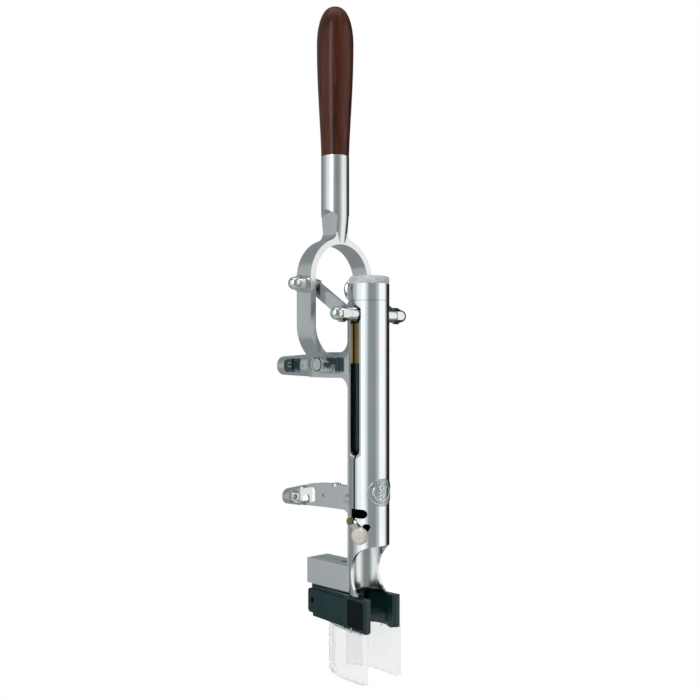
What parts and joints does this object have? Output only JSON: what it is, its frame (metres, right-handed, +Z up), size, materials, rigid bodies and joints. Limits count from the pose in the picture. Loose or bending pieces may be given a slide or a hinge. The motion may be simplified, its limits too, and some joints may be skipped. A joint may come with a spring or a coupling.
{
  "type": "lever corkscrew",
  "caption": "Wall-mounted bar corkscrew: a tall lever with an oval yoke drives a worm down a chromed tube into a bottle held by hinged jaws.",
  "frame": {"origin": "on the wall plane, midway between the two upper wall screws, level with the lever's pivot", "axes": "+Z up along the tube, +Y into the wall, +X to the right as seen by the user"},
  "size_m": [0.1076, 0.1362, 0.6065],
  "materials": {
    "satin_chrome": "satin chrome plate over a casting",
    "polished_chrome": "polished chrome plate",
    "frosted_cap": "frosted light plastic",
    "embossed_metal": "embossed plated metal",
    "dark_steel": "blackened steel",
    "plated_steel": "bright nickel plate",
    "worm_steel": "polished hardened steel",
    "brass": "satin brass",
    "pearl_knob": "smooth cream nickel",
    "black_plastic": "satin black moulded plastic",
    "black_rubber": "matt black rubber",
    "clear_plastic": "clear polished plastic",
    "varnished_wood": "dark red varnished hardwood"
  },
  "bodies": {
    "housing": {"rear_casting": "satin_chrome", "upper_foot": "satin_chrome", "lower_foot": "satin_chrome", "front_shell": "polished_chrome", "top_sleeve": "polished_chrome", "top_cap": "frosted_cap", "top_screw": "polished_chrome", "medallion": "embossed_metal", "guide_nut": "dark_steel", "guide_screws": "plated_steel", "neck_rest": "black_plastic", "neck_seat": "black_rubber", "rest_screw": "plated_steel", "jaw_pins": "plated_steel", "jaw_spring": "plated_steel", "latch_pin": "brass"},
    "latch": {"latch_lever": "plated_steel", "latch_knob": "pearl_knob"},
    "lever": {"yoke": "satin_chrome", "wood_grip": "varnished_wood", "grip_tang": "plated_steel", "pivot_pin": "plated_steel", "pivot_rings": "dark_steel", "yoke_bolts": "plated_steel", "yoke_spacers": "plated_steel", "yoke_washers": "plated_steel", "yoke_nuts": "plated_steel"},
    "link_l": {"left_link": "satin_chrome", "left_pin_end": "plated_steel", "left_pin_nut": "plated_steel"},
    "link_r": {"right_link": "satin_chrome", "right_pin_end": "plated_steel", "right_pin_nut": "plated_steel"},
    "carriage": {"slider": "dark_steel", "cross_pin": "plated_steel", "brass_sleeve": "brass", "thrust_washer": "brass"},
    "screw": {"worm": "worm_steel", "worm_shank": "worm_steel"},
    "jaw_l": {"left_jaw": "black_plastic", "left_guard": "clear_plastic", "left_guard_screws": "plated_steel"},
    "jaw_r": {"right_jaw": "black_plastic", "right_guard": "clear_plastic", "right_guard_screws": "plated_steel"}
  },
  "joints": [
    {"name": "lever_swing", "type": "hinge", "parent": "housing", "child": "lever", "pos_m": [0, -0.07, 0], "axis": [1, 0, 0], "range_deg": [0, 108]},
    {"name": "left_link_pivot", "type": "hinge", "parent": "lever", "child": "link_l", "pos_m": [-0.027, -0.07, 0.0724], "axis": [1, 0, 0], "range_deg": [-25.5, 0]},
    {"name": "right_link_pivot", "type": "hinge", "parent": "lever", "child": "link_r", "pos_m": [0.027, -0.07, 0.0724], "axis": [1, 0, 0], "range_deg": [-25.5, 0]},
    {"name": "carriage_slide", "type": "slide", "parent": "housing", "child": "carriage", "axis": [0, 0, -1], "range_m": [0, 0.1156]},
    {"name": "worm_spin", "type": "hinge", "parent": "carriage", "child": "screw", "pos_m": [0, -0.116, 0.01], "axis": [0, 0, -1], "range_deg": [0, 4160]},
    {"name": "latch_swing", "type": "hinge", "parent": "housing", "child": "latch", "pos_m": [-0.0195, -0.1138, -0.1373], "axis": [-1, 0, 0], "range_deg": [0, 32]},
    {"name": "left_jaw_squeeze", "type": "hinge", "parent": "housing", "child": "jaw_l", "pos_m": [-0.0074, -0.056, -0.2185], "axis": [0, 0, 1], "range_deg": [0, 3.5], "stiffness_Nm_per_rad": 6},
    {"name": "right_jaw_squeeze", "type": "hinge", "parent": "housing", "child": "jaw_r", "pos_m": [0.0074, -0.056, -0.2185], "axis": [0, 0, 1], "range_deg": [-3.5, 0]}
  ],
  "couplings": [
    {"joint": "left_link_pivot", "follows": "lever_swing", "ratio": -0.22727},
    {"joint": "right_link_pivot", "follows": "lever_swing", "ratio": -0.22727},
    {"joint": "carriage_slide", "follows": "lever_swing", "m_per_rad": 0.061228},
    {"joint": "worm_spin", "follows": "lever_swing", "ratio": 38.471},
    {"joint": "right_jaw_squeeze", "follows": "left_jaw_squeeze", "ratio": -1}
  ]
}
